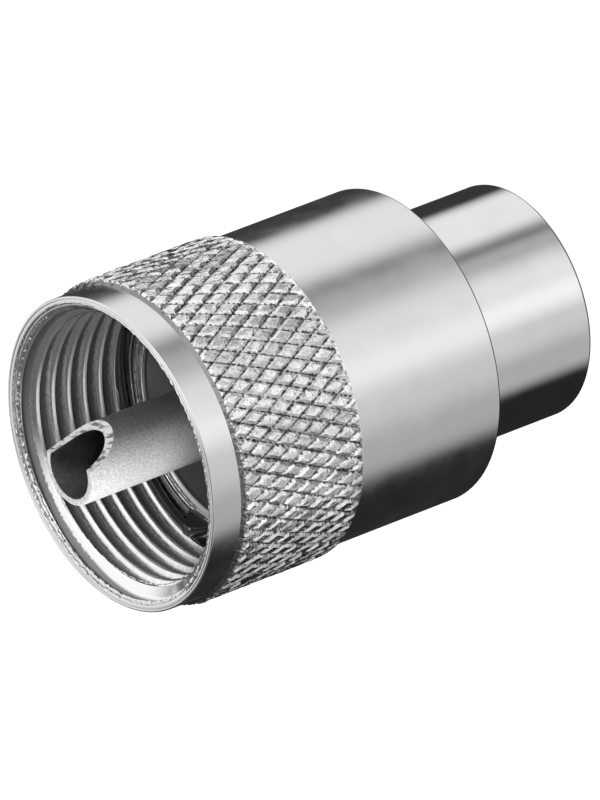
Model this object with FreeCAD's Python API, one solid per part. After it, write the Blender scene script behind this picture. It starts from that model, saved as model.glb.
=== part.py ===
import FreeCAD, Part
import math
import os

# A plug for a coaxial cable, with a screwed coupling nut that turns on the plug body.
# It stands on its cable end: Z is the axis of every turned form, and the origin is the
# centre of the cable end's face. Sizes are millimetres and degrees.

# the coupling thread, 5/8 inch with 24 turns an inch
THREAD_MAJOR_DIAMETER = 15.875
THREAD_PITCH = 25.4 / 24
THREAD_DEPTH_PER_PITCH = 0.5413
THREAD_LENGTH = 6.3
THREAD_RELIEF_DEPTH = 0.11

# the coupling nut
NUT_LENGTH = 19.5
NUT_WALL = 0.81
NUT_REAR_BREAK = 0.15
NUT_BORE_BREAK = 0.25
MOUTH_LAND = 0.3
FRONT_RING_LENGTH = 1.85
FRONT_RING_BREAK = 0.1

# the knurl
KNURL_END_FROM_FRONT = 9.9
KNURL_COUNT = 64
KNURL_PITCH = 1.845
KNURL_ROOT_RISE = 0.09
KNURL_DEPTH = 0.26
KNURL_FLAT_SHARE = 0.58
KNURL_SEAT = 0.3

# the plug body, a turned shell
FLANGE_THREAD_CLEARANCE = 0.15
FLANGE_SHOULDER = 0.415
FLANGE_THICKNESS = 1.6
FLANGE_FROM_FRONT = 6.8
FLANGE_BREAK = 0.12
NUT_RUNNING_CLEARANCE = 0.3
NUT_END_FLOAT = 0.2
RIM_STEP = 0.15
RIM_WALL = 0.45
RIM_BREAK = 0.1
PIP_COUNT = 2
PIP_HEIGHT = 1.25
PIP_LAND = 0.5
PIP_STEEP_RUN = 0.85
PIP_EASY_RUN = 1.0
PIP_BEARING = 140.0
TAIL_LENGTH = 8.1
TAIL_WALL = 1.0
TAIL_BREAK = 0.25
CABLE_BORE_DEPTH = 10.0
CABLE_BORE_BREAK = 0.3
CONDUCTOR_BORE_RADIUS = 3.65
NECK_DEPTH = 0.6
NECK_LENGTH = 4.0
NECK_BEHIND_INSULATOR = 0.2
SOLDER_HOLE_COUNT = 4
SOLDER_HOLE_DIAMETER = 2.4

# the insulator
INSULATOR_RECESS = 0.25
INSULATOR_LENGTH = 5.9
INSULATOR_BREAK = 0.12

# the centre pin
PIN_DIAMETER = 3.96
PIN_WALL = 0.39
PIN_PROTRUSION = 2.75
PIN_COLLAR_RADIUS = 2.65
PIN_COLLAR_THICKNESS = 0.8
PIN_REAR_COLLAR_THICKNESS = 0.4
PIN_TAIL = 1.6
PIN_BREAK = 0.08
SCOOP_RADIUS = 5.7
SCOOP_DEPTH = 2.6
SCOOP_FLOOR_HEIGHT = 0.5
SCOOP_BEARING = -30.0

# radii that follow from the thread, inwards to the body and outwards to the nut
THREAD_MAJOR_RADIUS = THREAD_MAJOR_DIAMETER / 2
THREAD_MINOR_RADIUS = THREAD_MAJOR_RADIUS - THREAD_DEPTH_PER_PITCH * THREAD_PITCH
RELIEF_RADIUS = THREAD_MAJOR_RADIUS + THREAD_RELIEF_DEPTH
BARREL_RADIUS = THREAD_MAJOR_RADIUS + NUT_WALL
KNURL_ROOT_RADIUS = BARREL_RADIUS + KNURL_ROOT_RISE
KNURL_CREST_RADIUS = KNURL_ROOT_RADIUS + KNURL_DEPTH
FLANGE_RADIUS = THREAD_MINOR_RADIUS - FLANGE_THREAD_CLEARANCE
TAIL_RADIUS = FLANGE_RADIUS - FLANGE_SHOULDER - NUT_RUNNING_CLEARANCE
NUT_BORE_RADIUS = TAIL_RADIUS + NUT_RUNNING_CLEARANCE
CABLE_BORE_RADIUS = TAIL_RADIUS - TAIL_WALL
INSULATOR_RADIUS = TAIL_RADIUS - RIM_WALL
PIN_RADIUS = PIN_DIAMETER / 2

# heights above the cable end's face
NUT_REAR_Z = TAIL_LENGTH
NUT_FRONT_Z = NUT_REAR_Z + NUT_LENGTH
KNURL_REAR_Z = NUT_FRONT_Z - KNURL_END_FROM_FRONT
KNURL_FRONT_Z = NUT_FRONT_Z - FRONT_RING_LENGTH
FLANGE_FRONT_Z = NUT_FRONT_Z - FLANGE_FROM_FRONT
FLANGE_REAR_Z = FLANGE_FRONT_Z - FLANGE_THICKNESS
NUT_SHOULDER_Z = FLANGE_REAR_Z - NUT_END_FLOAT
RIM_Z = FLANGE_FRONT_Z - RIM_STEP
INSULATOR_FRONT_Z = RIM_Z - INSULATOR_RECESS
INSULATOR_REAR_Z = INSULATOR_FRONT_Z - INSULATOR_LENGTH
PIN_TIP_Z = NUT_FRONT_Z + PIN_PROTRUSION
PIN_REAR_Z = INSULATOR_REAR_Z - PIN_REAR_COLLAR_THICKNESS - PIN_TAIL


def polar(radius, bearing, height):
    """Return the point at a radius, a bearing in degrees and a height."""
    angle = math.radians(bearing)
    return FreeCAD.Vector(radius * math.cos(angle), radius * math.sin(angle), height)


def turned(profile):
    """Revolve a closed outline of (radius, height) points about Z into a solid."""
    points = [FreeCAD.Vector(radius, 0, height) for radius, height in profile]
    outline = Part.makePolygon(points + points[:1])
    solid = Part.Face(outline).revolve(FreeCAD.Vector(), FreeCAD.Vector(0, 0, 1), 360)
    return solid


def knurl_diamond(column, row, rises, point):
    """Return the facets of one flat-topped diamond, or of its half at an end row.

    point gives the place of a number of columns, a number of rows and a radius.
    """
    facets = []
    for side in (-1, 1):
        side_top = point(column + side * KNURL_FLAT_SHARE, row, KNURL_CREST_RADIUS)
        side_root = point(column + side, row, KNURL_ROOT_RADIUS)
        ends = [point(column, row + rise * KNURL_FLAT_SHARE, KNURL_CREST_RADIUS) for rise in rises]
        if len(ends) == 1:
            facets.append((side_top, ends[0], point(column, row, KNURL_CREST_RADIUS)))
        else:
            facets.append((side_top, ends[0], ends[1]))
        for rise, rise_top in zip(rises, ends):
            rise_root = point(column, row + rise, KNURL_ROOT_RADIUS)
            facets.append((side_top, side_root, rise_root))
            facets.append((side_top, rise_root, rise_top))
    return [Part.Face(Part.makePolygon(corners + corners[:1])) for corners in facets]


def knurl_end(row, core_radius, point):
    """Return the flat ring that closes the knurled tube at one row."""
    points = []
    for column in range(2 * KNURL_COUNT):
        if (column + row) % 2:
            for share in (-KNURL_FLAT_SHARE, 0, KNURL_FLAT_SHARE):
                points.append(point(column + share, row, KNURL_CREST_RADIUS))
        else:
            points.append(point(column, row, KNURL_ROOT_RADIUS))
    edge = Part.makePolygon(points + points[:1])
    hole = Part.Wire(Part.makeCircle(core_radius, FreeCAD.Vector(0, 0, points[0].z)))
    return Part.makeFace([edge, hole], "Part::FaceMakerBullseye")


def knurled_tube(low, high, core_radius):
    """Return a tube with diamonds all round, at least from one height to another."""
    step_angle = 180 / KNURL_COUNT
    step_height = KNURL_PITCH / 2
    rows = math.ceil((high - low) / step_height)

    def point(across, up, radius):
        return polar(radius, across * step_angle, low + up * step_height)

    faces = [knurl_end(0, core_radius, point), knurl_end(rows, core_radius, point)]
    for row in range(rows + 1):
        rises = [rise for rise in (-1, 1) if 0 <= row + rise <= rows]
        for column in range(2 * KNURL_COUNT):
            if (column + row) % 2:
                faces += knurl_diamond(column, row, rises, point)
    core = Part.makeCylinder(core_radius, rows * step_height, FreeCAD.Vector(0, 0, low))
    faces += [face for face in core.Faces if face.Surface.TypeId == "Part::GeomCylinder"]
    skin = Part.makeCompound(faces)
    skin.sewShape()
    return Part.Solid(skin.Shells[0])


def knurl_band():
    """Return the knurled band, square at its rear and bevelled at its front."""
    core_radius = BARREL_RADIUS - KNURL_SEAT
    clear_radius = KNURL_CREST_RADIUS + KNURL_DEPTH
    tube = knurled_tube(KNURL_REAR_Z, KNURL_FRONT_Z, core_radius)
    bevel = turned([
        (core_radius - KNURL_DEPTH, KNURL_FRONT_Z + BARREL_RADIUS - core_radius + KNURL_DEPTH),
        (clear_radius, KNURL_FRONT_Z + BARREL_RADIUS - clear_radius),
        (clear_radius, KNURL_FRONT_Z + KNURL_PITCH),
        (core_radius - KNURL_DEPTH, KNURL_FRONT_Z + KNURL_PITCH),
    ])
    return tube.cut(bevel)


def coupling_nut():
    """Return the nut: a plain front ring, a knurled band and a smooth barrel."""
    mouth_radius = BARREL_RADIUS - FRONT_RING_BREAK - MOUTH_LAND
    thread_end_z = NUT_FRONT_Z - THREAD_LENGTH
    relief_slope = RELIEF_RADIUS - THREAD_MINOR_RADIUS
    core = turned([
        (NUT_BORE_RADIUS + NUT_BORE_BREAK, NUT_REAR_Z),
        (BARREL_RADIUS - NUT_REAR_BREAK, NUT_REAR_Z),
        (BARREL_RADIUS, NUT_REAR_Z + NUT_REAR_BREAK),
        (BARREL_RADIUS, NUT_FRONT_Z - FRONT_RING_BREAK),
        (BARREL_RADIUS - FRONT_RING_BREAK, NUT_FRONT_Z),
        (mouth_radius, NUT_FRONT_Z),
        (THREAD_MINOR_RADIUS, NUT_FRONT_Z - (mouth_radius - THREAD_MINOR_RADIUS)),
        (THREAD_MINOR_RADIUS, thread_end_z),
        (RELIEF_RADIUS, thread_end_z - relief_slope),
        (RELIEF_RADIUS, NUT_SHOULDER_Z),
        (NUT_BORE_RADIUS, NUT_SHOULDER_Z),
        (NUT_BORE_RADIUS, NUT_REAR_Z + NUT_BORE_BREAK),
    ])
    return core.fuse(knurl_band())


def locating_pip(bearing):
    """Return one of the pips on the flange that enter the notches of a socket.

    Its two flanks differ, and its inner and outer faces are turned with the flange.
    """
    root_z = FLANGE_FRONT_Z - FLANGE_THICKNESS / 2
    top_z = FLANGE_FRONT_Z + PIP_HEIGHT
    outer_radius = FLANGE_RADIUS - FLANGE_BREAK
    low_side = -PIP_LAND / 2 - PIP_EASY_RUN
    high_side = PIP_LAND / 2 + PIP_STEEP_RUN
    profile = [
        (low_side, root_z),
        (low_side, FLANGE_FRONT_Z),
        (-PIP_LAND / 2, top_z),
        (PIP_LAND / 2, top_z),
        (high_side, FLANGE_FRONT_Z),
        (high_side, root_z),
    ]
    points = [FreeCAD.Vector(0, across, height) for across, height in profile]
    outline = Part.Face(Part.makePolygon(points + points[:1]))
    prism = outline.extrude(FreeCAD.Vector(FLANGE_RADIUS, 0, 0))
    ring = turned([
        (TAIL_RADIUS, root_z),
        (outer_radius, root_z),
        (outer_radius, top_z),
        (TAIL_RADIUS, top_z),
    ])
    pip = prism.common(ring)
    pip.rotate(FreeCAD.Vector(), FreeCAD.Vector(0, 0, 1), bearing)
    return pip


def plug_body():
    """Return the turned body: rim, flange with pips, neck with solder holes, tail."""
    neck_top = INSULATOR_REAR_Z - NECK_BEHIND_INSULATOR
    neck_bottom = neck_top - NECK_LENGTH
    bore_slope = (CABLE_BORE_RADIUS - CONDUCTOR_BORE_RADIUS) / math.sqrt(3)
    body = turned([
        (CABLE_BORE_RADIUS + CABLE_BORE_BREAK, 0),
        (TAIL_RADIUS - TAIL_BREAK, 0),
        (TAIL_RADIUS, TAIL_BREAK),
        (TAIL_RADIUS, neck_bottom),
        (TAIL_RADIUS - NECK_DEPTH, neck_bottom + NECK_DEPTH),
        (TAIL_RADIUS - NECK_DEPTH, neck_top - NECK_DEPTH),
        (TAIL_RADIUS, neck_top),
        (TAIL_RADIUS, FLANGE_REAR_Z),
        (FLANGE_RADIUS - FLANGE_BREAK, FLANGE_REAR_Z),
        (FLANGE_RADIUS, FLANGE_REAR_Z + FLANGE_BREAK),
        (FLANGE_RADIUS, FLANGE_FRONT_Z - FLANGE_BREAK),
        (FLANGE_RADIUS - FLANGE_BREAK, FLANGE_FRONT_Z),
        (TAIL_RADIUS, FLANGE_FRONT_Z),
        (TAIL_RADIUS, RIM_Z),
        (INSULATOR_RADIUS + RIM_BREAK, RIM_Z),
        (INSULATOR_RADIUS, RIM_Z - RIM_BREAK),
        (INSULATOR_RADIUS, INSULATOR_REAR_Z),
        (CONDUCTOR_BORE_RADIUS, INSULATOR_REAR_Z),
        (CONDUCTOR_BORE_RADIUS, CABLE_BORE_DEPTH + bore_slope),
        (CABLE_BORE_RADIUS, CABLE_BORE_DEPTH),
        (CABLE_BORE_RADIUS, CABLE_BORE_BREAK),
    ])
    for number in range(PIP_COUNT):
        body = body.fuse(locating_pip(PIP_BEARING + number * 360 / PIP_COUNT))
    hole_z = (neck_top + neck_bottom) / 2
    for number in range(SOLDER_HOLE_COUNT):
        outward = polar(1, number * 360 / SOLDER_HOLE_COUNT, 0)
        start = FreeCAD.Vector(0, 0, hole_z)
        hole = Part.makeCylinder(SOLDER_HOLE_DIAMETER / 2, FLANGE_RADIUS, start, outward)
        body = body.cut(hole)
    return body


def insulator():
    """Return the moulded disc that holds the pin in the body."""
    return turned([
        (PIN_RADIUS, INSULATOR_REAR_Z),
        (INSULATOR_RADIUS, INSULATOR_REAR_Z),
        (INSULATOR_RADIUS, INSULATOR_FRONT_Z - INSULATOR_BREAK),
        (INSULATOR_RADIUS - INSULATOR_BREAK, INSULATOR_FRONT_Z),
        (PIN_RADIUS, INSULATOR_FRONT_Z),
    ])


def pin_scoop():
    """Return the round cutter that passes across the pin and opens one side of its tip."""
    rise = PIN_RADIUS - SCOOP_FLOOR_HEIGHT
    chord = math.hypot(rise, SCOOP_DEPTH)
    stand_off = math.sqrt(SCOOP_RADIUS ** 2 - chord ** 2 / 4)
    centre_x = (PIN_RADIUS + SCOOP_FLOOR_HEIGHT) / 2 + stand_off * SCOOP_DEPTH / chord
    centre_z = PIN_TIP_Z - SCOOP_DEPTH / 2 + stand_off * rise / chord
    start = FreeCAD.Vector(centre_x, -PIN_DIAMETER, centre_z)
    scoop = Part.makeCylinder(SCOOP_RADIUS, 2 * PIN_DIAMETER, start, FreeCAD.Vector(0, 1, 0))
    scoop.rotate(FreeCAD.Vector(), FreeCAD.Vector(0, 0, 1), SCOOP_BEARING)
    return scoop


def centre_pin():
    """Return the hollow pin with a collar on each side of the insulator."""
    bore_radius = PIN_RADIUS - PIN_WALL
    rear_collar_z = INSULATOR_REAR_Z - PIN_REAR_COLLAR_THICKNESS
    collar_z = INSULATOR_FRONT_Z + PIN_COLLAR_THICKNESS
    pin = turned([
        (bore_radius, PIN_REAR_Z),
        (PIN_RADIUS, PIN_REAR_Z),
        (PIN_RADIUS, rear_collar_z),
        (PIN_COLLAR_RADIUS, rear_collar_z),
        (PIN_COLLAR_RADIUS, INSULATOR_REAR_Z),
        (PIN_RADIUS, INSULATOR_REAR_Z),
        (PIN_RADIUS, INSULATOR_FRONT_Z),
        (PIN_COLLAR_RADIUS, INSULATOR_FRONT_Z),
        (PIN_COLLAR_RADIUS, collar_z - PIN_BREAK),
        (PIN_COLLAR_RADIUS - PIN_BREAK, collar_z),
        (PIN_RADIUS, collar_z),
        (PIN_RADIUS, PIN_TIP_Z - PIN_BREAK),
        (PIN_RADIUS - PIN_BREAK, PIN_TIP_Z),
        (bore_radius, PIN_TIP_Z),
    ])
    return pin.cut(pin_scoop())


def main():
    """Write one STEP file for each piece."""
    os.makedirs("parts", exist_ok=True)
    pieces = {
        "coupling_nut": coupling_nut(),
        "plug_body": plug_body(),
        "insulator": insulator(),
        "centre_pin": centre_pin(),
    }
    for name, shape in pieces.items():
        shape.exportStep("parts/" + name + ".step")
        print(name, shape.isValid(), len(shape.Solids), len(shape.Faces), round(shape.Volume, 3))


main()
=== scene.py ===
"""Dress the coaxial cable plug: a turned nickel nut and body, a grey insulator and a hollow pin.

The plug stands on its cable end, with its axis on Z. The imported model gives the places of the
pieces. Each class below builds one sub-assembly's meshes and gives them their finish.
"""

import logging
import math
from dataclasses import dataclass
from enum import Enum

import bmesh
import bpy
from bmesh.types import BMEdge, BMesh, BMVert
from bpy.types import Material, Node, NodeSocket, NodeTree, Object
from mathutils import Matrix, Vector, noise


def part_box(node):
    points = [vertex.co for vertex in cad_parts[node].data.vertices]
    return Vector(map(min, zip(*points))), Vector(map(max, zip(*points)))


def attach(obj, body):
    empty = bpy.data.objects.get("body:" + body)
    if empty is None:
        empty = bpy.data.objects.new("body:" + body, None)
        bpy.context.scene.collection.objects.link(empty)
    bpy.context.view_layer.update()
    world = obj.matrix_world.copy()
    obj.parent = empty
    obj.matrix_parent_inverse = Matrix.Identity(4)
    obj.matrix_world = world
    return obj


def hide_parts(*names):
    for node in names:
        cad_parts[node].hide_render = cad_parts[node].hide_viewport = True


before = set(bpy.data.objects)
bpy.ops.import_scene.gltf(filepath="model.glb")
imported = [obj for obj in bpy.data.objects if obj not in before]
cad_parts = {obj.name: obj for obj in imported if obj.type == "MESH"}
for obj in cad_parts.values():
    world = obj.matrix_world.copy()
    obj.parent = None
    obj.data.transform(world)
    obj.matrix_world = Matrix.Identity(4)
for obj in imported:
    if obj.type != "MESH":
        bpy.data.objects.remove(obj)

logging.basicConfig(level=logging.INFO, format="%(message)s")
log = logging.getLogger("plug")

Pair = tuple[float, float]
Triple = tuple[float, float, float]

MILLI = 0.001
FULL_TURN = 2 * math.pi
ROUNDING_SEGMENTS = 3
TURNING_STEPS = 240
BURR_STEPS_A_DEGREE = 2.5
BURR_WAVES_A_MILLIMETRE = 5.0
NOISE_SEED = 7
SMOOTH_ANGLE = 40.0
SKIN = 0.01
WHITE = (1.0, 1.0, 1.0, 1.0)


@dataclass(frozen=True)
class Corner:
    """One corner of a turned outline.

    Args:
        radius: distance from the axis, in millimetres.
        height: height above the cable end's face, in millimetres.
        rounding: how far along its two sides the corner is rounded, in millimetres.
    """

    radius: float
    height: float
    rounding: float = 0.0


class Body(Enum):
    """The CAD bodies that the pieces move with."""

    PLUG = "plug"
    NUT = "nut"


def draw_loop(mesh: BMesh, places: list[Pair]) -> list[BMVert]:
    """Draw a closed outline through radii and heights, and return its vertices."""
    verts = [mesh.verts.new((radius, 0.0, height)) for radius, height in places]
    for pair in zip(verts, verts[1:] + verts[:1]):
        mesh.edges.new(pair)
    return verts


def everything(mesh: BMesh) -> list:
    """Return a mesh's vertices, edges and faces."""
    return mesh.verts[:] + mesh.edges[:] + mesh.faces[:]


def open_edges(mesh: BMesh) -> list[BMEdge]:
    """Return a mesh's open edges."""
    return [edge for edge in mesh.edges if edge.is_boundary]


def round_off(mesh: BMesh, chosen: list, size: float, affect: str, segments: int = 2) -> None:
    """Round some VERTICES or EDGES, as affect says, by a size in millimetres."""
    bmesh.ops.bevel(
        mesh, geom=chosen, offset=size, offset_type="OFFSET", affect=affect,
        segments=segments, profile=0.5, material=-1,
    )


def sweep(
    mesh: BMesh, angle: float, steps: int, rise: float = 0.0, merge: bool = False,
    copy: bool = False,
) -> None:
    """Sweep all of a mesh round Z.

    Args:
        mesh: the mesh.
        angle: how far it turns, in radians.
        steps: how many steps it takes.
        rise: how far it rises at each step, in millimetres.
        merge: whether the end is joined to the start.
        copy: whether it leaves copies at each step instead of a swept surface.
    """
    bmesh.ops.spin(
        mesh, geom=everything(mesh), cent=(0, 0, 0), axis=(0, 0, 1), dvec=(0, 0, rise),
        angle=angle, steps=steps, use_merge=merge, use_duplicate=copy,
    )


def repeat_round(mesh: BMesh, count: int) -> None:
    """Repeat all of a mesh evenly round Z, until there is a count of them."""
    sweep(mesh, FULL_TURN * (1 - 1 / count), count - 1, copy=True)


def resize(mesh: BMesh, factor: float) -> None:
    """Scale all of a mesh about the origin."""
    bmesh.ops.scale(mesh, vec=(factor, factor, factor), verts=mesh.verts[:])


def face_outwards(mesh: BMesh) -> None:
    """Turn all of a mesh's faces outwards."""
    bmesh.ops.recalc_face_normals(mesh, faces=mesh.faces[:])


def lathe(corners: list[Corner], steps: int = TURNING_STEPS) -> BMesh:
    """Turn a closed outline about Z.

    Args:
        corners: the outline's corners, in order.
        steps: how many flats make up the full turn.

    Returns:
        A closed mesh in millimetres, with its faces pointing outwards.
    """
    mesh = bmesh.new()
    verts = draw_loop(mesh, [(corner.radius, corner.height) for corner in corners])
    for rounding in sorted({corner.rounding for corner in corners if corner.rounding > 0}):
        chosen = [vert for vert, corner in zip(verts, corners) if corner.rounding == rounding]
        round_off(mesh, chosen, rounding, "VERTICES", ROUNDING_SEGMENTS)
    sweep(mesh, FULL_TURN, steps, merge=True)
    face_outwards(mesh)
    return mesh


@dataclass(frozen=True)
class Burr:
    """A thin ragged bead that a tool leaves along an edge. Sizes are millimetres.

    Args:
        radius: the edge's distance from the axis.
        height: the edge's height.
        size: half the bead's thickness.
        ragged: how far the bead strays.
        start: the bearing at which it starts, in degrees.
        sweep: how far round it runs, in degrees.
        climb: how far it climbs and widens along its sweep.
    """

    radius: float
    height: float
    size: float
    ragged: float
    start: float = 0.0
    sweep: float = 360.0
    climb: float = 0.0

    def add_to(self, mesh: BMesh) -> None:
        """Add the bead to a mesh in millimetres."""
        steps = round(self.sweep * BURR_STEPS_A_DEGREE)
        closed = self.sweep == 360.0
        outline = [(self.size, 0), (0, self.size), (-self.size, 0), (0, -self.size)]
        bead = bmesh.new()
        verts = draw_loop(bead, [(self.radius + out, self.height + up) for out, up in outline])
        start = Matrix.Rotation(math.radians(self.start), 3, "Z")
        bmesh.ops.rotate(bead, cent=(0, 0, 0), matrix=start, verts=verts)
        sweep(bead, math.radians(self.sweep), steps, self.climb / steps, merge=closed)
        if not closed:
            bmesh.ops.holes_fill(bead, edges=open_edges(bead), sides=0)
        for vert in bead.verts:
            widened = (vert.co.z - self.height) * (self.climb > 0)
            vert.co.xy *= 1 + widened / self.radius
            vert.co += noise.noise_vector(vert.co * BURR_WAVES_A_MILLIMETRE) * self.ragged
        face_outwards(bead)
        data = bpy.data.meshes.new("bead")
        bead.to_mesh(data)
        bead.free()
        mesh.from_mesh(data)
        bpy.data.meshes.remove(data)


def set_mesh(piece: Object, mesh: BMesh, smooth_angle: float = SMOOTH_ANGLE) -> None:
    """Give a piece a mesh that was built in millimetres.

    Args:
        piece: the object.
        mesh: its new mesh, which is freed.
        smooth_angle: edges that turn by less than this many degrees are shaded smooth.
    """
    resize(mesh, MILLI)
    limit = math.radians(smooth_angle)
    for face in mesh.faces:
        face.smooth = True
    for edge in mesh.edges:
        edge.smooth = edge.calc_face_angle(0.0) < limit
    mesh.to_mesh(piece.data)
    mesh.free()
    log.info("%s: %d faces", piece.name, len(piece.data.polygons))


def make_piece(
    name: str, mesh: BMesh, body: Body, node: str, smooth_angle: float = SMOOTH_ANGLE,
) -> Object:
    """Make an object of a mesh that was built in millimetres.

    Args:
        name: the object's name.
        mesh: the finished mesh, which is freed.
        body: the CAD body that it moves with.
        node: the CAD node that it stands for.
        smooth_angle: edges that turn by less than this many degrees are shaded smooth.

    Returns:
        The object, at the origin, in metres.
    """
    piece = bpy.data.objects.new(name, bpy.data.meshes.new(name))
    set_mesh(piece, mesh, smooth_angle)
    bpy.context.scene.collection.objects.link(piece)
    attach(piece, body.value)
    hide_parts(node)
    weighting = piece.modifiers.new("face_weighted_normals", "WEIGHTED_NORMAL")
    weighting.keep_sharp = True
    return piece


def cut_away(piece: Object, cutter: BMesh) -> BMesh:
    """Subtract a cutter, built in millimetres, from a piece.

    Args:
        piece: the object that is cut.
        cutter: a closed mesh, which is freed.

    Returns:
        The carved mesh in millimetres, for set_mesh.
    """
    resize(cutter, MILLI)
    tool_mesh = bpy.data.meshes.new("cutter")
    cutter.to_mesh(tool_mesh)
    cutter.free()
    tool = bpy.data.objects.new("cutter", tool_mesh)
    bpy.context.scene.collection.objects.link(tool)
    cut = piece.modifiers.new("cut", "BOOLEAN")
    cut.operation = "DIFFERENCE"
    cut.solver = "EXACT"
    cut.object = tool
    weighting = piece.modifiers["face_weighted_normals"]
    weighting.show_viewport = False
    graph = bpy.context.evaluated_depsgraph_get()
    carved = bpy.data.meshes.new_from_object(piece.evaluated_get(graph))
    piece.modifiers.remove(cut)
    weighting.show_viewport = True
    bpy.data.objects.remove(tool)
    mesh = bmesh.new()
    mesh.from_mesh(carved)
    resize(mesh, 1 / MILLI)
    return mesh


def grey(level: float, blue: float = 1.0) -> Triple:
    """Return a grey, with a share of its blue."""
    return level, level, level * blue


class Nodes:
    """A node tree, with short calls to add and join its nodes."""

    def __init__(self, tree: NodeTree) -> None:
        """Take the tree."""
        self.tree = tree

    def add(self, kind: str, **settings: object) -> Node:
        """Add a node and set its properties."""
        node = self.tree.nodes.new(kind)
        for key, value in settings.items():
            setattr(node, key, value)
        return node

    def join(self, source: object, target: NodeSocket) -> None:
        """Give an input the value of an output, or a fixed one."""
        if isinstance(source, NodeSocket):
            self.tree.links.new(source, target)
        else:
            target.default_value = source

    def split(self, vector: NodeSocket) -> list[NodeSocket]:
        """Split a vector into its three sockets."""
        parts = self.add("ShaderNodeSeparateXYZ")
        self.join(vector, parts.inputs[0])
        return parts.outputs[:]

    def maths(self, operation: str, first: object, second: object = 0.0) -> NodeSocket:
        """Combine two sockets or numbers with a Math node's operation."""
        node = self.add("ShaderNodeMath", operation=operation)
        self.join(first, node.inputs[0])
        self.join(second, node.inputs[1])
        return node.outputs[0]

    def blend(
        self, factor: NodeSocket, first: object, second: object, kind: str = "FLOAT",
    ) -> NodeSocket:
        """Blend two numbers (FLOAT) or colours (RGBA), or sockets of that kind."""
        node = self.add("ShaderNodeMix", data_type=kind)
        for key, value in (("Factor", factor), ("A", first), ("B", second)):
            self.join(value, node.inputs[key])
        return node.outputs["Result"]

    def spread(
        self, factor: NodeSocket, low: float, high: float, start: float = 0.3,
        end: float = 0.7, shape: str = "LINEAR",
    ) -> NodeSocket:
        """Map the middle of a factor onto a range.

        Args:
            factor: the socket to map.
            low: the result at and below start.
            high: the result at and above end.
            start: where the range begins.
            end: where the range ends.
            shape: how it runs between them.

        Returns:
            The mapped socket.
        """
        node = self.add("ShaderNodeMapRange", interpolation_type=shape)
        limits = {"From Min": start, "From Max": end, "To Min": low, "To Max": high}
        for key, value in {"Value": factor, **limits}.items():
            self.join(value, node.inputs[key])
        return node.outputs["Result"]

    def fade(self, factor: NodeSocket, limits: Pair, level: float) -> NodeSocket:
        """Rise smoothly from 0 at the first limit to a level at the second."""
        return self.spread(factor, 0.0, level, *limits, "SMOOTHSTEP")


class Sheet(Nodes):
    """A material's node tree, with short calls for the looks of its surface."""

    def __init__(self, name: str, metallic: float = 0.0) -> None:
        """Start a material with its own surface shader."""
        self.material = bpy.data.materials.new(name)
        self.material.use_nodes = True
        super().__init__(self.material.node_tree)
        self.shader = self.tree.nodes["Principled BSDF"]
        self.join(metallic, self.shader.inputs["Metallic"])
        self.place = self.add("ShaderNodeTexCoord").outputs["Object"]

    def radius_and_height(self, spacing: float) -> NodeSocket:
        """Give (distance from Z, height, 0) in units of a spacing that is in metres."""
        across, along, height = self.split(self.place)
        squares = self.maths("ADD", self.maths("POWER", across, 2), self.maths("POWER", along, 2))
        both = self.add("ShaderNodeCombineXYZ")
        for value, socket in zip((self.maths("SQRT", squares), height), both.inputs):
            self.join(self.maths("MULTIPLY", value, 1 / spacing), socket)
        return both.outputs[0]

    def grain(
        self, size: float, detail: float = 2.0, along: NodeSocket | None = None,
    ) -> NodeSocket:
        """Add a noise of a grain size.

        Args:
            size: the grain's size in metres, or 1 where the vector is in its own units.
            detail: how many finer layers the noise has.
            along: the vector it follows, or the object's own place.

        Returns:
            The noise's factor, from 0 to 1.
        """
        node = self.add("ShaderNodeTexNoise")
        self.join(1 / size, node.inputs["Scale"])
        self.join(detail, node.inputs["Detail"])
        self.join(along or self.place, node.inputs["Vector"])
        return node.outputs["Fac"]

    def tint(self, factor: NodeSocket, dark: Triple, light: Triple) -> None:
        """Colour the surface between a dark tint at 0 and a light one at 1."""
        tinted = self.blend(factor, (*dark, 1.0), (*light, 1.0), "RGBA")
        self.join(tinted, self.shader.inputs["Base Color"])

    def bump(
        self, height: NodeSocket, depth: float, under: NodeSocket | None = None,
    ) -> NodeSocket:
        """Lay a relief, with its depth in metres, over a normal and return the new normal."""
        node = self.add("ShaderNodeBump")
        self.join(1.0, node.inputs["Strength"])
        self.join(depth, node.inputs["Distance"])
        self.join(height, node.inputs["Height"])
        if under:
            self.join(under, node.inputs["Normal"])
        return node.outputs["Normal"]

    def finish(self, roughness: object, normal: NodeSocket) -> Material:
        """Give the surface its roughness and normal, and return the material."""
        self.join(roughness, self.shader.inputs["Roughness"])
        self.join(normal, self.shader.inputs["Normal"])
        return self.material


@dataclass(frozen=True)
class Finish:
    """What the finishes have in common.

    Args:
        name: the material's name.
        colour: the surface's reflection, or its colour.
        roughness: the lowest and highest roughness.
    """

    name: str
    colour: float | Triple
    roughness: Pair


@dataclass(frozen=True)
class TurnedNickel(Finish):
    """Nickel plate over lathe-turned brass: fine rings left by the tool, and a faint cloudiness.

    Args:
        ring_depth: the tool marks' depth, in metres.
        grain_depth: the depth of the plate's grain, in metres.
    """

    ring_depth: float
    grain_depth: float

    def material(self) -> Material:
        """Build the material."""
        sheet = Sheet(self.name, 1.0)
        rings = sheet.grain(1.0, 3.0, sheet.radius_and_height(spacing=0.00006))
        cloud = sheet.grain(size=0.0018, detail=3.0)
        dark = grey(self.colour * 0.93, blue=0.995)
        sheet.tint(sheet.spread(cloud, 0.0, 1.0), dark, grey(self.colour, blue=0.995))
        grained = sheet.bump(sheet.grain(size=0.00006, detail=1.0), self.grain_depth)
        normal = sheet.bump(rings, self.ring_depth, grained)
        return sheet.finish(sheet.spread(cloud, *self.roughness), normal)


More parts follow.
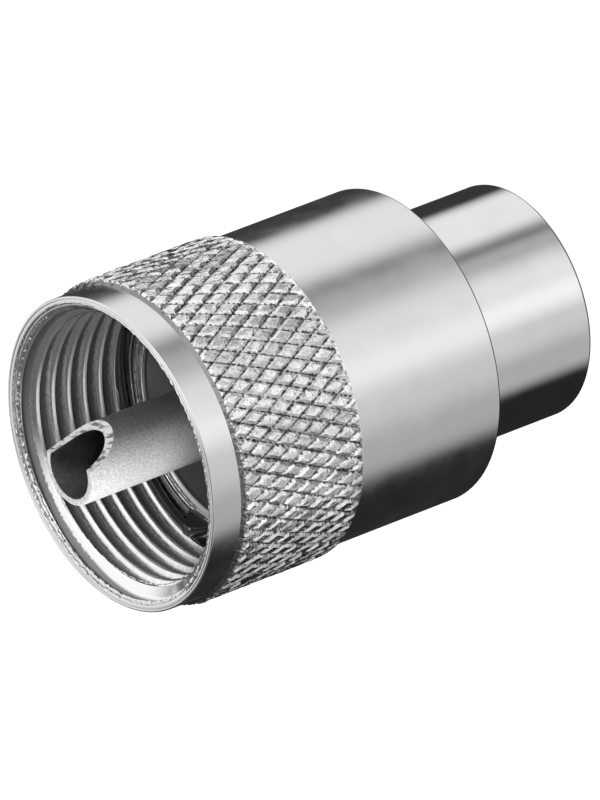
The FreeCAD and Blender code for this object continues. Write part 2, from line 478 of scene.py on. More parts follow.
@dataclass(frozen=True)
class GroovedNickel(Finish):
    """Nickel plate over a cut or rolled relief: dented on its lands, with painted shade in its
    grooves.

    Args:
        dent_size: the size of the dents, in metres.
        dent_depth: their depth, in metres.
        groove: the radii at which the painted groove shade is full and gone, in millimetres.
        groove_shade: the share of the plate's reflection that the painted shade leaves in the
            grooves.
        chamfer_height: where the end chamfer, which the painted groove shade spares, would meet
            the axis, in millimetres.
        chamfer_slope: how far the chamfer rises for each step outwards.
        chamfer_unshaded: how far the end chamfer is kept free of the painted groove shade, from 0
            to 1.
        stain: how far stains darken the lands, from 0 to 1.
        groove_matt: the roughness that the grooves have beyond the lands.
    """

    dent_size: float
    dent_depth: float
    groove: Pair
    groove_shade: float
    chamfer_height: float
    chamfer_slope: float
    chamfer_unshaded: float
    stain: float
    groove_matt: float

    def unshaded_and_unstained(self, sheet: Sheet) -> NodeSocket:
        """Give 0 in grooves (painted shade), 1 on lands less stains, the chamfer's share on it."""
        radius, height, _ = sheet.split(sheet.radius_and_height(MILLI))
        ragged = sheet.spread(sheet.grain(size=0.00018), low=-0.05, high=0.05)
        # 1 on the lands, 0 at the groove roots, where shade is painted into the colour
        land = sheet.spread(sheet.maths("ADD", radius, ragged), 0.0, 1.0, *self.groove)
        stains = sheet.spread(sheet.grain(size=0.0004), low=1.0 - self.stain, high=1.0)
        slope = sheet.maths("MULTIPLY", radius, self.chamfer_slope)
        below = sheet.maths("SUBTRACT", sheet.maths("ADD", slope, self.chamfer_height), height)
        chamfer = sheet.spread(below, self.chamfer_unshaded, 0.0, start=0.02, end=0.06)
        return sheet.maths("MAXIMUM", sheet.maths("MULTIPLY", land, stains), chamfer)

    def material(self) -> Material:
        """Build the material."""
        sheet = Sheet(self.name, 1.0)
        dents = sheet.bump(sheet.grain(self.dent_size), self.dent_depth)
        torn = sheet.grain(self.dent_size / 3)
        unshaded_unstained = self.unshaded_and_unstained(sheet)
        # the tint darkens the grooves as painted shade, and the lands by their stains
        sheet.tint(unshaded_unstained, grey(self.colour * self.groove_shade), grey(self.colour))
        matt = sheet.spread(unshaded_unstained, self.groove_matt, 0.0, 0.0, 1.0)
        rough = sheet.maths("ADD", sheet.spread(torn, *self.roughness), matt)
        return sheet.finish(rough, sheet.bump(torn, self.dent_depth / 2, dents))


@dataclass(frozen=True)
class MouldedPlastic(Finish):
    """A dark moulding with a faint skin texture."""

    def material(self) -> Material:
        """Build the material."""
        sheet = Sheet(self.name)
        clouds = sheet.spread(sheet.grain(size=0.0012, detail=3.0), 0.0, 1.0)
        skin = sheet.grain(size=0.00009)
        dark = tuple(part * 0.85 for part in self.colour)
        sheet.tint(clouds, dark, self.colour)
        normal = sheet.bump(skin, depth=0.000004)
        return sheet.finish(sheet.spread(skin, *self.roughness), normal)


@dataclass(frozen=True)
class GrainedPlate(Finish):
    """Satin plate on the pin, which glitters with a fine grain and has painted shade deeper in the
    nut.

    Args:
        grain_size: the grain's size, in metres.
        grain_depth: the grain's depth, in metres.
        metallic: how far the plate reflects as a metal.
        shade_fade_heights: the heights between which painted shade, for the nut's shadow, fades
        out, in millimetres.
    """

    grain_size: float
    grain_depth: float
    metallic: float = 1.0
    shade_fade_heights: Pair = (21.5, 29.0)

    def material(self) -> Material:
        """Build the material."""
        sheet = Sheet(self.name, self.metallic)
        cloud = sheet.grain(size=0.0009, detail=3.0)
        grain = sheet.grain(self.grain_size)
        height = sheet.split(sheet.radius_and_height(MILLI))[1]
        # painted shade: the plate darkens deeper in the nut, where the nut's shadow falls
        unshaded_by_height = sheet.spread(height, 0.25, 1.0, *self.shade_fade_heights)
        grain_and_unshaded = sheet.maths("MULTIPLY", sheet.spread(grain, low=0.3, high=1.0), unshaded_by_height)
        sheet.tint(grain_and_unshaded, grey(self.colour * 0.35), grey(self.colour))
        normal = sheet.bump(grain, self.grain_depth)
        return sheet.finish(sheet.spread(cloud, *self.roughness), normal)


@dataclass(frozen=True)
class SawnFace:
    """A bare face with the streaks of the cutter that sawed it.

    Args:
        name: the material's name.
        shades: the darkest and lightest streak.
        streak: the streaks' spacing, in metres.
    """

    name: str
    shades: Pair
    streak: float

    def material(self) -> Material:
        """Build the material."""
        sheet = Sheet(self.name, metallic=0.8)
        lean = sheet.add("ShaderNodeMapping")
        settings = {"Vector": sheet.place, "Rotation": (0.4, 0.5, 0.3), "Scale": (1.0, 0.15, 1.0)}
        for key, value in settings.items():
            sheet.join(value, lean.inputs[key])
        streaks = sheet.grain(self.streak, 2.0, lean.outputs["Vector"])
        dark, light = self.shades
        shade = sheet.spread(streaks, 0.0, 1.0, start=0.38, end=0.52)
        sheet.tint(shade, grey(dark), grey(light))
        return sheet.finish(0.45, sheet.bump(streaks, self.streak / 6))


@dataclass
class CouplingNut:
    """The screwed nut: front ring, knurl, smooth barrel, thread and rear flange, in millimetres."""

    minor_radius: float = 7.44
    major_radius: float = 8.22
    relief_radius: float = 8.0475
    barrel_radius: float = 8.7475
    bore_radius: float = 6.7996
    bore_chamfer: float = 0.25
    shoulder_height: float = 19.0
    thread_length: float = 6.3
    thread_pitch: float = 25.4 / 24
    thread_steps: int = 150
    thread_start: float = 0.9
    thread_rounding: float = 0.015
    flank_angle: float = 30.0
    flank_cuts: int = 4
    crest_lean: float = 0.09
    mouth_radius: float = 8.3475
    land_step: float = 0.12
    land_mark: float = 8.58
    knurl_front: float = 25.75
    knurl_rear: float = 17.7
    knurl_root_radius: float = 8.9
    knurl_columns: int = 64
    knurl_pitch: float = 1.845
    knurl_flat_share: float = 0.42
    knurl_rounding: float = 0.06
    knurl_dent: float = 0.06
    knurl_rim: float = 0.07
    knurl_smooth_angle: float = 32.0
    sunk: float = 0.3
    worn_depth: float = 0.1
    stray: float = 0.09
    stray_waves: float = 3.1
    sink: float = 0.05
    sink_waves: float = 2.6

    def __post_init__(self) -> None:
        """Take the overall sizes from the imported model."""
        low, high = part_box("coupling_nut")
        self.rear = low.z / MILLI
        self.front = high.z / MILLI
        self.crest_radius = high.x / MILLI
        self.thread_end = self.front - self.thread_length

    def shell(self) -> Object:
        """Turn the nut's shell, with its bore at the thread's root."""
        step = self.major_radius - self.minor_radius
        root_front = self.front - self.mouth_radius + self.major_radius
        root_rear = self.thread_end - step
        relief_front = root_rear - self.major_radius + self.relief_radius
        corners = [
            Corner(self.bore_radius + self.bore_chamfer, self.rear, 0.03),
            Corner(self.barrel_radius, self.rear, 0.16),
            Corner(self.barrel_radius, self.front, 0.08),
            Corner(self.land_mark + 0.03, self.front, 0.01),
            Corner(self.land_mark, self.front - 0.04),
            Corner(self.land_mark - 0.03, self.front, 0.01),
            Corner(self.mouth_radius, self.front, 0.02),
            Corner(self.mouth_radius - 0.02, self.front - self.land_step, 0.01),
            Corner(self.major_radius, root_front),
            Corner(self.major_radius, root_rear),
            Corner(self.relief_radius, relief_front, 0.02),
            Corner(self.relief_radius, self.shoulder_height),
            Corner(self.bore_radius, self.shoulder_height, 0.05),
            Corner(self.bore_radius, self.rear + self.bore_chamfer, 0.03),
        ]
        return make_piece("coupling_nut_shell", lathe(corners), Body.NUT, "coupling_nut")

    def bore_limit(self, height: float) -> float:
        """Return the radius that the mouth's chamfer and the thread relief leave at a height."""
        mouth = self.mouth_radius - (self.front - height)
        relief = self.minor_radius + self.thread_end - height
        return max(self.minor_radius, mouth, min(relief, self.relief_radius))

    def thread(self) -> Object:
        """Wind the thread's ridge, cut back by the mouth's chamfer and by the relief."""
        depth = self.major_radius - self.minor_radius
        root_half = self.thread_pitch / 2
        crest_half = root_half - depth * math.tan(math.radians(self.flank_angle))
        first = self.front + self.thread_start
        turns = (first - self.thread_end + depth + root_half) / self.thread_pitch + 0.5
        outline = [
            (self.major_radius + 0.1, first - root_half),
            (self.major_radius + 0.02, first - root_half),
            (self.minor_radius, first - crest_half),
            (self.minor_radius + self.crest_lean, first + crest_half),
            (self.major_radius + 0.02, first + root_half),
            (self.major_radius + 0.1, first + root_half),
        ]
        mesh = bmesh.new()
        verts = draw_loop(mesh, outline)
        round_off(mesh, verts[2:4], self.thread_rounding, "VERTICES")
        flanks = [edge for edge in mesh.edges if edge.calc_length() > depth / 2]
        bmesh.ops.subdivide_edges(mesh, edges=flanks, cuts=self.flank_cuts)
        steps = round(self.thread_steps * turns)
        sweep(mesh, -FULL_TURN * turns, steps, -self.thread_pitch / self.thread_steps)
        bmesh.ops.holes_fill(mesh, edges=open_edges(mesh), sides=0)
        for vert in mesh.verts:
            vert.co.z = min(vert.co.z, self.front - self.land_step - SKIN)
            radius = vert.co.xy.length
            limit = self.bore_limit(vert.co.z)
            if radius < limit + SKIN and limit > self.minor_radius:
                vert.co.xy *= (limit + SKIN) / radius
        face_outwards(mesh)
        return make_piece("coupling_nut_thread", mesh, Body.NUT, "coupling_nut")

    def burrs(self) -> Object:
        """Leave burrs on the mouth's edges and along the thread's start."""
        low = self.front - 0.3
        climb_radius = self.mouth_radius - self.front + low
        inner = self.front - self.mouth_radius + self.minor_radius
        burrs = [
            Burr(self.barrel_radius - 0.05, self.front - 0.04, 0.02, 0.03),
            Burr(self.mouth_radius, self.front - 0.06, 0.04, 0.06),
            Burr(self.mouth_radius + 0.05, self.front + 0.01, 0.04, 0.05, -165.0, 170.0),
            Burr(climb_radius, low + 0.04, 0.05, 0.07, 10.0, 200.0, 0.18),
            Burr(self.minor_radius + 0.03, inner - 0.02, 0.03, 0.06, 80.0, 130.0),
        ]
        mesh = bmesh.new()
        for burr in burrs:
            burr.add_to(mesh)
        return make_piece("coupling_nut_burrs", mesh, Body.NUT, "coupling_nut")

    def knurl(self) -> Object:
        """Roll the knurl: diamonds inset from a sheared strip, wrapped and repeated."""
        half_width = math.pi * self.crest_radius / self.knurl_columns
        half_height = self.knurl_pitch / 2
        depth = self.crest_radius - self.knurl_root_radius
        inner_half = half_width * half_height / math.hypot(half_width, half_height)
        groove = inner_half * (1 - self.knurl_flat_share)
        rows = math.ceil((self.knurl_front - self.knurl_rear) / half_height) + 1
        mesh = bmesh.new()
        bmesh.ops.create_grid(mesh, x_segments=1, y_segments=rows, size=0.5)
        shear = Matrix((
            (half_width, -half_width, 0, 0),
            (half_height, half_height, 0, self.knurl_rear),
            (0, 0, 1, self.knurl_root_radius),
            (0, 0, 0, 1),
        ))
        start = Matrix.Translation((0.5, rows / 2 - 1, 0))
        place = shear @ start @ Matrix.Diagonal((1, rows, 1, 1))
        bmesh.ops.transform(mesh, matrix=place, verts=mesh.verts[:])
        lands = mesh.faces[:]
        bmesh.ops.inset_individual(
            mesh, faces=lands, thickness=groove, depth=depth, use_even_offset=True,
        )
        land_edges = list(dict.fromkeys(edge for face in lands for edge in face.edges))
        round_off(mesh, land_edges, self.knurl_rounding, "EDGES")
        top = self.crest_radius - 0.001
        lands = [face for face in mesh.faces if min(vert.co.z for vert in face.verts) > top]
        bmesh.ops.inset_individual(
            mesh, faces=lands, thickness=inner_half / 4, use_even_offset=True,
        )
        bmesh.ops.poke(mesh, faces=lands, offset=-self.knurl_dent)
        rear = Vector((0, self.knurl_rear + 2 * self.knurl_rim, 0))
        front = Vector((0, self.knurl_front, self.barrel_radius))
        for point, normal in ((rear, Vector((0, -1, 0))), (front, Vector((0, 1, 1)).normalized())):
            bmesh.ops.bisect_plane(
                mesh, geom=everything(mesh), dist=0.0001, plane_co=point, plane_no=normal,
                clear_outer=True,
            )
        for vert in mesh.verts:
            across, height, radius = vert.co
            bearing = across / self.crest_radius
            vert.co = (radius * math.cos(bearing), radius * math.sin(bearing), height)
        repeat_round(mesh, self.knurl_columns)
        bmesh.ops.remove_doubles(mesh, verts=mesh.verts[:], dist=0.001)
        self.close_knurl(mesh)
        self.wear_knurl(mesh)
        face_outwards(mesh)
        angle = self.knurl_smooth_angle
        return make_piece("coupling_nut_knurl", mesh, Body.NUT, "coupling_nut", angle)

    def close_knurl(self, mesh: BMesh) -> None:
        """Close the open sleeve with a rear face, a front bevel and an inner wall."""
        core = self.barrel_radius - self.sunk
        foot = self.barrel_radius - 0.02
        rim = self.crest_radius - self.knurl_rim
        middle = (self.knurl_front + self.knurl_rear) / 2
        ends = open_edges(mesh)
        rear = [edge for edge in ends if edge.verts[0].co.z < middle]
        front = [edge for edge in ends if edge.verts[0].co.z > middle]
        rear = self.pull_ring(mesh, rear, rim, self.knurl_rear + self.knurl_rim)
        rear = self.pull_ring(mesh, rear, rim, self.knurl_rear)
        rear = self.pull_ring(mesh, rear, core, self.knurl_rear)
        front = self.pull_ring(mesh, front, foot, self.knurl_front + self.barrel_radius - foot)
        front = self.pull_ring(mesh, front, core, self.knurl_front)
        bmesh.ops.bridge_loops(mesh, edges=rear + front)

    @staticmethod
    def pull_ring(mesh: BMesh, edges: list[BMEdge], radius: float, height: float) -> list[BMEdge]:
        """Extrude a ring of open edges to a radius and a height.

        Args:
            mesh: the mesh that holds them.
            edges: the open ring.
            radius: the new ring's radius.
            height: the new ring's height.

        Returns:
            The new ring's edges.
        """
        made = bmesh.ops.extrude_edge_only(mesh, edges=edges)["geom"]
        for vert in made:
            if isinstance(vert, BMVert):
                vert.co.xy *= radius / vert.co.xy.length
                vert.co.z = height
        return [edge for edge in made if isinstance(edge, BMEdge) and edge.is_boundary]

    def wear_knurl(self, mesh: BMesh) -> None:
        """Make the closed sleeve's lands uneven, as a rolled knurl leaves them."""
        for vert in mesh.verts:
            radius = vert.co.xy.length
            raised = radius > self.crest_radius - self.worn_depth
            if raised and vert.co.z > self.knurl_rear + 1.5 * self.knurl_rim:
                stray = noise.noise_vector(vert.co * self.stray_waves) * self.stray
                sink = (1 + noise.noise(vert.co * self.sink_waves)) * self.sink
                vert.co += stray
                vert.co.xy *= min(radius, self.crest_radius - sink) / vert.co.xy.length

    def build(self, turned: Material, threaded: Material, knurled: Material) -> None:
        """Build the nut's pieces and give them their finish.

        Args:
            turned: the finish of the turned faces.
            threaded: the finish of the thread.
            knurled: the finish of the knurl.
        """
        pieces = (self.shell(), self.thread(), self.burrs(), self.knurl())
        for piece, finish in zip(pieces, (turned, threaded, turned, knurled)):
            piece.data.materials.append(finish)


@dataclass
class PlugBody:
    """The turned body: flange with pips, sunk rim, neck with solder holes, and tail.

    Sizes are millimetres.
    """

    tail_radius: float = 6.4996
    flange_radius: float = 7.2146
    flange_front: float = 20.8
    flange_thickness: float = 1.6
    rim_step: float = 0.15
    seat_radius: float = 6.0496
    seat_height: float = 14.5
    cable_bore_radius: float = 5.4996
    cable_bore_depth: float = 10.0
    cable_bore_chamfer: float = 0.3
    conductor_bore_radius: float = 3.65
    neck_depth: float = 0.6
    neck_low: float = 10.3
    neck_high: float = 14.3
    hole_diameter: float = 2.4
    hole_count: int = 4
    pip_count: int = 2
    pip_bearing: float = 140.0
    pip_height: float = 1.25
    pip_land: float = 0.5
    pip_runs: Pair = (1.0, 0.85)
    pip_rounding: float = 0.06
    pip_sunk: float = 0.3
    knob_radius: float = 0.15
    knob_inset: float = 0.13
    knob_past: float = 0.02

    def outline(self) -> list[Corner]:
        """Return the body's turned outline."""
        tail = self.tail_radius
        seat = self.seat_radius
        bore = self.cable_bore_radius
        front = self.flange_front
        rim = front - self.rim_step
        flange_rear = front - self.flange_thickness
        bore_slope = (bore - self.conductor_bore_radius) / math.sqrt(3)
        return [
            Corner(bore + self.cable_bore_chamfer, 0.0, 0.03),
            Corner(tail, 0.0, 0.2),
            Corner(tail, self.neck_low),
            Corner(tail - self.neck_depth, self.neck_low + self.neck_depth),
            Corner(tail - self.neck_depth, self.neck_high - self.neck_depth),
            Corner(tail, self.neck_high),
            Corner(tail, flange_rear),
            Corner(self.flange_radius, flange_rear, 0.12),
            Corner(self.flange_radius, front, 0.12),
            Corner(tail - 0.03, front, 0.02),
            Corner(tail - 0.05, rim, 0.02),
            Corner(seat + 0.12, rim, 0.03),
            Corner(seat + 0.08, rim - 0.08, 0.02),
            Corner(seat, rim - 0.1, 0.02),
            Corner(seat, self.seat_height),
            Corner(self.conductor_bore_radius, self.seat_height),
            Corner(self.conductor_bore_radius, self.cable_bore_depth + bore_slope),
            Corner(bore, self.cable_bore_depth),
            Corner(bore, self.cable_bore_chamfer, 0.03),
        ]

    def pips(self) -> Object:
        """Make the pips on the flange that enter the notches of a socket."""
        inner = self.tail_radius - 0.03
        outer = self.flange_radius - 0.12
        middle = (inner + outer) / 2
        reach = self.pip_height + self.pip_sunk
        land_half = self.pip_land / 2
        mesh = bmesh.new()
        bmesh.ops.create_cube(mesh, size=1.0)
        for vert in mesh.verts:
            run = self.pip_runs[vert.co.y > 0] * reach / self.pip_height * (vert.co.z < 0)
            rise = self.pip_height if vert.co.z > 0 else -self.pip_sunk
            vert.co.y = math.copysign(land_half + run, vert.co.y)
            vert.co.x = outer if vert.co.x > 0 else inner
            vert.co.z = self.flange_front + rise
        round_off(mesh, mesh.edges[:], self.pip_rounding, "EDGES")
        knob = Matrix.Translation((
            inner + self.knob_inset,
            land_half + self.knob_past,
            self.flange_front + self.pip_height - self.knob_inset,
        ))
        bmesh.ops.create_icosphere(mesh, subdivisions=3, radius=self.knob_radius, matrix=knob)
        across = [
            edge for edge in mesh.edges
            if abs(edge.verts[0].co.y - edge.verts[1].co.y) > land_half
        ]
        bmesh.ops.subdivide_edges(mesh, edges=across, cuts=5)
        for vert in mesh.verts:
            turn = math.radians(self.pip_bearing) + vert.co.y / middle
            vert.co.xy = (vert.co.x * math.cos(turn), vert.co.x * math.sin(turn))
        repeat_round(mesh, self.pip_count)
        face_outwards(mesh)
        return make_piece("plug_body_pips", mesh, Body.PLUG, "plug_body")

    def burrs(self) -> Object:
        """Leave a burr on the edge between the flange and the sunk rim."""
        mesh = bmesh.new()
        Burr(self.tail_radius - 0.03, self.flange_front - 0.02, 0.025, 0.04).add_to(mesh)
        return make_piece("plug_body_burrs", mesh, Body.PLUG, "plug_body")

    def solder_holes(self) -> BMesh:
        """Return the drills that open the neck."""
        drills = bmesh.new()
        middle = Matrix.Translation((0, 0, (self.neck_low + self.neck_high) / 2))
        lay = Matrix.Rotation(math.pi / 2, 4, "Y")
        for number in range(self.hole_count // 2):
            made = bmesh.ops.create_cone(
                drills, cap_ends=True, segments=48, radius1=self.hole_diameter / 2,
                radius2=self.hole_diameter / 2, depth=2.2 * self.flange_radius,
            )["verts"]
            turn = Matrix.Rotation(number * math.pi / 2, 4, "Z")
            bmesh.ops.transform(drills, matrix=middle @ turn @ lay, verts=made)
        return drills

    def build(self, finish: Material, shaded_pip_finish: Material) -> None:
        """Build the body and give it its finishes.

        Args:
            finish: the finish of the turned faces.
            shaded_pip_finish: the finish of the pips, the body's nickel painted darker as shade.
        """
        shell = make_piece("plug_body_shell", lathe(self.outline()), Body.PLUG, "plug_body")
        set_mesh(shell, cut_away(shell, self.solder_holes()))
        for piece, coat in ((shell, finish), (self.pips(), shaded_pip_finish), (self.burrs(), finish)):
            piece.data.materials.append(coat)


@dataclass
class Insulator:
    """The moulded disc that holds the pin. Sizes are millimetres."""

    bore_radius: float = 1.98

    def build(self, finish: Material) -> None:
        """Build the disc and give it its finish."""
        low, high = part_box("insulator")
        outer = high.x / MILLI
        corners = [
            Corner(self.bore_radius, low.z / MILLI, 0.05),
            Corner(outer, low.z / MILLI, 0.1),
            Corner(outer, high.z / MILLI, 0.12),
            Corner(self.bore_radius, high.z / MILLI, 0.05),
        ]
        piece = make_piece("insulator_disc", lathe(corners), Body.PLUG, "insulator")
        piece.data.materials.append(finish)


@dataclass
class CentrePin:
    """The hollow pin with a collar at each face of the insulator. Sizes are millimetres."""

    radius: float = 1.98
    wall: float = 0.39
    collar_radius: float = 2.65
    collar_thickness: float = 0.8
    rear_collar_thickness: float = 0.4
    scoop_radius: float = 5.7
    scoop_depth: float = 2.6
    scoop_floor: float = 0.5
    scoop_bearing: float = -30.0
    steps: int = 160
    smooth_angle: float = 30.0

    def outline(self, rear: float, tip: float) -> list[Corner]:
        """Return the pin's turned outline between its rear end and its tip."""
        low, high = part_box("insulator")
        disc_rear = low.z / MILLI
        disc_front = high.z / MILLI
        collar_rear = disc_rear - self.rear_collar_thickness
        collar_front = disc_front + self.collar_thickness
        bore = self.radius - self.wall
        return [
            Corner(bore, rear, 0.03),
            Corner(self.radius, rear, 0.06),
            Corner(self.radius, collar_rear),
            Corner(self.collar_radius, collar_rear, 0.05),
            Corner(self.collar_radius, disc_rear),
            Corner(self.radius, disc_rear),
            Corner(self.radius, disc_front),
            Corner(self.collar_radius, disc_front),
            Corner(self.collar_radius, collar_front, 0.12),
            Corner(self.radius, collar_front, 0.05),
            Corner(self.radius, tip, 0.1),
            Corner(bore, tip, 0.03),
        ]

    def scoop(self, tip: float) -> tuple[Matrix, BMesh]:
        """Return the place of the round cutter that opens one side of the tip, and the cutter."""
        rise = self.radius - self.scoop_floor
        chord = math.hypot(rise, self.scoop_depth)
        stand_off = math.sqrt(self.scoop_radius ** 2 - chord ** 2 / 4)
        out = (self.radius + self.scoop_floor) / 2 + stand_off * self.scoop_depth / chord
        up = tip - self.scoop_depth / 2 + stand_off * rise / chord
        turn = Matrix.Rotation(math.radians(self.scoop_bearing), 4, "Z")
        lay = Matrix.Rotation(math.pi / 2, 4, "X")
        place = turn @ Matrix.Translation((out, 0, up)) @ lay
        cutter = bmesh.new()
        bmesh.ops.create_cone(
            cutter, cap_ends=True, segments=360, radius1=self.scoop_radius,
            radius2=self.scoop_radius, depth=4 * self.radius, matrix=place,
        )
        return place, cutter

    def build(self, plated: Material, cut: Material, bored: Material) -> None:
        """Build the pin, open its tip and give it its finishes.

        Args:
            plated: the finish of the outside.
            cut: the finish of the scoop's face.
            bored: the finish of the bore.
        """
        low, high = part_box("centre_pin")
        tip = high.z / MILLI
        tube = lathe(self.outline(low.z / MILLI, tip), self.steps)
        piece = make_piece("centre_pin_tube", tube, Body.PLUG, "centre_pin")
        place, cutter = self.scoop(tip)
        mesh = cut_away(piece, cutter)
        to_cutter = place.inverted()
        for face in mesh.faces:
            middle = face.calc_center_median()
            off_scoop = abs((to_cutter @ middle).xy.length - self.scoop_radius)
            if off_scoop < 2 * SKIN and middle.z > tip - self.scoop_depth - 0.1:
                face.material_index = 1
            elif middle.xy.length < self.radius - self.wall + SKIN:
                face.material_index = 2
        set_mesh(piece, mesh, self.smooth_angle)
        for finish in (plated, cut, bored):
            piece.data.materials.append(finish)


@dataclass(frozen=True)
class SoftPanel:
    """A studio panel that the metal reflects.

    Args:
        bearing: the panel's bearing round the plug, in degrees from +X.
        core: how far to each side it is at full strength, in degrees.
        reach: how far to each side it fades out, in degrees.
        level: its brightness.
    """

    bearing: float
    core: float
    reach: float
    level: float


@dataclass
class Studio:
    """The floor, the lamps and the panels round the plug.

    Each fade is the pair of places, along one axis of the view's direction, between which a
    level comes in.
    """

    panels: tuple[SoftPanel, ...] = (
        SoftPanel(bearing=2, core=15, reach=38, level=1.22),
        SoftPanel(bearing=-106.5, core=61, reach=81, level=0.62),
        SoftPanel(bearing=-84, core=6, reach=36, level=0.56),
        SoftPanel(bearing=-116, core=5, reach=36, level=0.3),
        SoftPanel(bearing=60, core=20, reach=45, level=0.025),
    )
    all_share: float = 0.8
    dark_level: float = 0.027
    below_share: float = 0.2
    below_fade: Pair = (-0.88, -0.64)
    overhead_levels: Pair = (0.14, 1.3)
    overhead_fade: Pair = (-0.1, 0.25)
    overhead_turn: Pair = (-0.35, 0.15)
    far_level: float = 0.4
    far_fade: Pair = (-0.45, -0.65)
    far_side: Pair = (0.0, -0.2)
    near_level: float = 0.35
    near_fade: Pair = (-0.15, -0.45)
    matt_levels: Pair = (0.06, 2.6)
    matt_fade: Pair = (-0.1, -0.9)
    floor_paint: float = 0.85
    floor_glow: float = 1.2
    floor_share: float = 0.8

    @staticmethod
    def start(owner: Material | bpy.types.World) -> Nodes:
        """Empty the node tree of a material or world and return it."""
        owner.use_nodes = True
        owner.node_tree.nodes.clear()
        return Nodes(owner.node_tree)

    def floor(self) -> None:
        """Lay a plain pale floor that keeps the plug's soft shadow."""
        mesh = bmesh.new()
        bmesh.ops.create_grid(mesh, x_segments=1, y_segments=1, size=1.0)
        data = bpy.data.meshes.new("floor")
        mesh.to_mesh(data)
        mesh.free()
        floor = bpy.data.objects.new("floor", data)
        bpy.context.scene.collection.objects.link(floor)
        floor.visible_glossy = False
        material = bpy.data.materials.new("pale_floor")
        nodes = self.start(material)
        paint = nodes.add("ShaderNodeBsdfDiffuse")
        glow = nodes.add("ShaderNodeEmission")
        mix = nodes.add("ShaderNodeMixShader")
        output = nodes.add("ShaderNodeOutputMaterial")
        to_camera = nodes.add("ShaderNodeLightPath").outputs["Is Camera Ray"]
        nodes.join((*grey(self.floor_paint), 1.0), paint.inputs["Color"])
        nodes.join(WHITE, glow.inputs["Color"])
        nodes.join(self.floor_glow, glow.inputs["Strength"])
        nodes.join(nodes.maths("MULTIPLY", to_camera, self.floor_share), mix.inputs[0])
        nodes.join(paint.outputs[0], mix.inputs[1])
        nodes.join(glow.outputs[0], mix.inputs[2])
        nodes.join(mix.outputs[0], output.inputs["Surface"])
        data.materials.append(material)

    def round_about(self, nodes: Nodes, side_x: NodeSocket, side_y: NodeSocket) -> NodeSocket:
        """Give the level of the panels round the plug, from the direction's X and Y."""
        squares = [nodes.maths("MULTIPLY", side, side) for side in (side_x, side_y)]
        length = nodes.maths("SQRT", nodes.maths("ADD", *squares))
        length = nodes.maths("MAXIMUM", length, 0.001)
        total = nodes.maths("ADD", self.dark_level, 0.0)
        for panel in self.panels:
            bearing = math.radians(panel.bearing)
            facing = nodes.maths(
                "ADD",
                nodes.maths("MULTIPLY", side_x, math.cos(bearing)),
                nodes.maths("MULTIPLY", side_y, math.sin(bearing)),
            )
            facing = nodes.maths("DIVIDE", facing, length)
            limits = (math.cos(math.radians(panel.reach)), math.cos(math.radians(panel.core)))
            total = nodes.maths("ADD", total, nodes.fade(facing, limits, panel.level))
        return total

    def overhead(self, nodes: Nodes, side_x: NodeSocket, side_y: NodeSocket) -> NodeSocket:
        """Give the level of the panels above the plug, from the direction's X and Y."""
        low, high = self.overhead_levels
        level = nodes.maths("ADD", nodes.fade(side_x, self.overhead_turn, high - low), low)
        far = nodes.fade(side_x, self.far_fade, self.far_level)
        far = nodes.maths("MULTIPLY", far, nodes.fade(side_y, self.far_side, 1.0))
        near = nodes.fade(side_y, self.near_fade, self.near_level)
        return nodes.maths("ADD", nodes.maths("ADD", level, far), near)

    def surround(self) -> None:
        """Set the world: white to the camera, even to matt surfaces, panels to metal."""
        world = bpy.data.worlds.new("studio")
        bpy.context.scene.world = world
        nodes = self.start(world)
        place = nodes.add("ShaderNodeTexCoord").outputs["Generated"]
        side_x, side_y, rise = nodes.split(place)
        path = nodes.add("ShaderNodeLightPath").outputs
        lit = nodes.fade(rise, self.below_fade, 1.0 - self.below_share)
        lit = nodes.maths("ADD", lit, self.below_share)
        round_about = nodes.maths("MULTIPLY", self.round_about(nodes, side_x, side_y), lit)
        above = nodes.fade(rise, self.overhead_fade, 1.0)
        glossy = nodes.blend(above, round_about, self.overhead(nodes, side_x, side_y))
        low, high = self.matt_levels
        matt = nodes.maths("ADD", nodes.fade(side_x, self.matt_fade, high - low), low)
        seen = nodes.blend(path["Is Glossy Ray"], matt, glossy)
        dimmed = nodes.maths("MULTIPLY", seen, self.all_share)
        background = nodes.add("ShaderNodeBackground")
        output = nodes.add("ShaderNodeOutputWorld")
        shown = nodes.blend(path["Is Camera Ray"], dimmed, 1.0)
        nodes.join(WHITE, background.inputs["Color"])
        nodes.join(shown, background.inputs["Strength"])
        nodes.join(background.outputs[0], output.inputs["Surface"])

    @staticmethod
    def lamp(name: str, place: Triple, size: float, energy: float) -> None:
        """Hang a soft lamp that matt surfaces see.

        Args:
            name: the lamp's name.
            place: where it hangs, in metres.
            size: its width, in metres.
            energy: its power, in watts.
        """
        light = bpy.data.lights.new(name, "AREA")
        light.shape = "DISK"
        light.size = size
        light.energy = energy
        lamp = bpy.data.objects.new(name, light)
        lamp.location = place
        aim = Vector((0, 0, 0.015)) - lamp.location
        lamp.rotation_euler = aim.to_track_quat("-Z", "Y").to_euler()
        lamp.visible_glossy = False
        bpy.context.scene.collection.objects.link(lamp)

    def build(self) -> None:
        """Build the studio."""
        self.floor()
        self.surround()
        self.lamp("overhead_softbox", (-0.06, -0.1, 0.3), 0.3, 0.2)
        self.lamp("side_softbox", (-0.24, -0.085, 0.16), 0.12, 1.25)


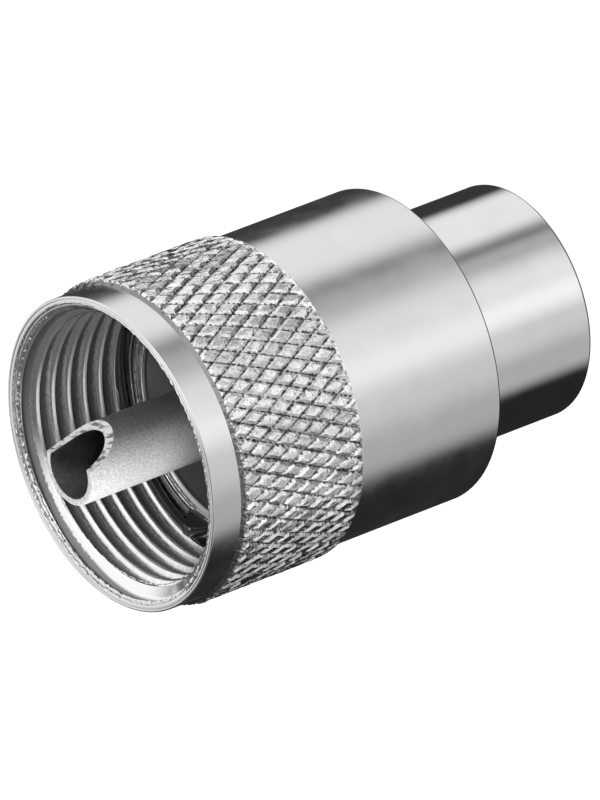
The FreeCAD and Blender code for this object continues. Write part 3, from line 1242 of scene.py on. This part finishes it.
@dataclass(frozen=True)
class Viewpoint:
    """A long lens that looks down on the upright plug and is rolled onto its side.

    Args:
        aim: the point at the middle of the picture, in millimetres.
        elevation: the camera's height above the horizon, in degrees.
        roll: how far the picture is rolled, in degrees.
        distance: the camera's distance, in metres.
        focal_length: the lens, in millimetres.
        picture_height: the picture's height behind the lens, in millimetres.
    """

    aim: Triple = (-0.89, -5.73, 18.94)
    elevation: float = 33.49
    roll: float = -110.97
    distance: float = 1.054
    focal_length: float = 900.0
    picture_height: float = 36.0

    def build(self) -> None:
        """Set up the camera."""
        data = bpy.data.cameras.new("camera")
        data.lens = self.focal_length
        data.sensor_width = self.picture_height
        data.clip_start = 0.01
        data.clip_end = 10.0
        camera = bpy.data.objects.new("camera", data)
        tilt = math.radians(90 - self.elevation)
        turn = Matrix.Rotation(tilt, 4, "X") @ Matrix.Rotation(math.radians(self.roll), 4, "Z")
        back = turn.col[2].to_3d()
        place = Vector(self.aim) * MILLI + back * self.distance
        camera.matrix_world = Matrix.Translation(place) @ turn
        bpy.context.scene.collection.objects.link(camera)
        bpy.context.scene.camera = camera


def main() -> None:
    """Build the plug, the studio and the camera."""
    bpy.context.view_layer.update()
    noise.seed_set(NOISE_SEED)
    bpy.context.scene.view_settings.view_transform = "Standard"
    Viewpoint().build()
    nut_nickel = TurnedNickel("nut_nickel", 0.78, (0.16, 0.24), 0.0000015, 0.0000008)
    # the thread's and knurl's grooves carry painted shade
    thread_nickel = GroovedNickel(
        name="thread_nickel", colour=0.92, roughness=(0.12, 0.22),
        dent_size=0.0003, dent_depth=0.000003, groove=(7.84, 7.76), groove_shade=0.34,
        chamfer_height=19.2525, chamfer_slope=1.0, chamfer_unshaded=1.0,
        stain=0.1, groove_matt=0.4,
    )
    knurl_nickel = GroovedNickel(
        name="knurl_nickel", colour=0.97, roughness=(0.08, 0.22),
        dent_size=0.00033, dent_depth=0.00005, groove=(8.9, 8.955), groove_shade=0.09,
        chamfer_height=34.4975, chamfer_slope=-1.0, chamfer_unshaded=0.22,
        stain=0.3, groove_matt=0.0,
    )
    body_nickel = TurnedNickel("body_nickel", 0.8, (0.08, 0.13), 0.0000006, 0.0000003)
    # painted shade: the pips' nickel is the body's, made darker to stand in for their shade
    shaded_pip_nickel = TurnedNickel("shaded_pip_nickel", 0.3, (0.12, 0.2), 0.000001, 0.000001)
    insulator_grey = MouldedPlastic("insulator_grey", (0.1, 0.1, 0.105), (0.35, 0.5))
    pin_plate = GrainedPlate("pin_plate", 0.75, (0.4, 0.55), 0.0001, 0.00002, 0.3)
    pin_cut = SawnFace("pin_cut", (0.2, 0.85), 0.00025)
    pin_bore = GrainedPlate("pin_bore", 0.3, (0.4, 0.6), 0.00009, 0.000004)
    CouplingNut().build(
        nut_nickel.material(), thread_nickel.material(), knurl_nickel.material(),
    )
    PlugBody().build(body_nickel.material(), shaded_pip_nickel.material())
    Insulator().build(insulator_grey.material())
    CentrePin().build(pin_plate.material(), pin_cut.material(), pin_bore.material())
    Studio().build()


if __name__ == "__main__":
    main()
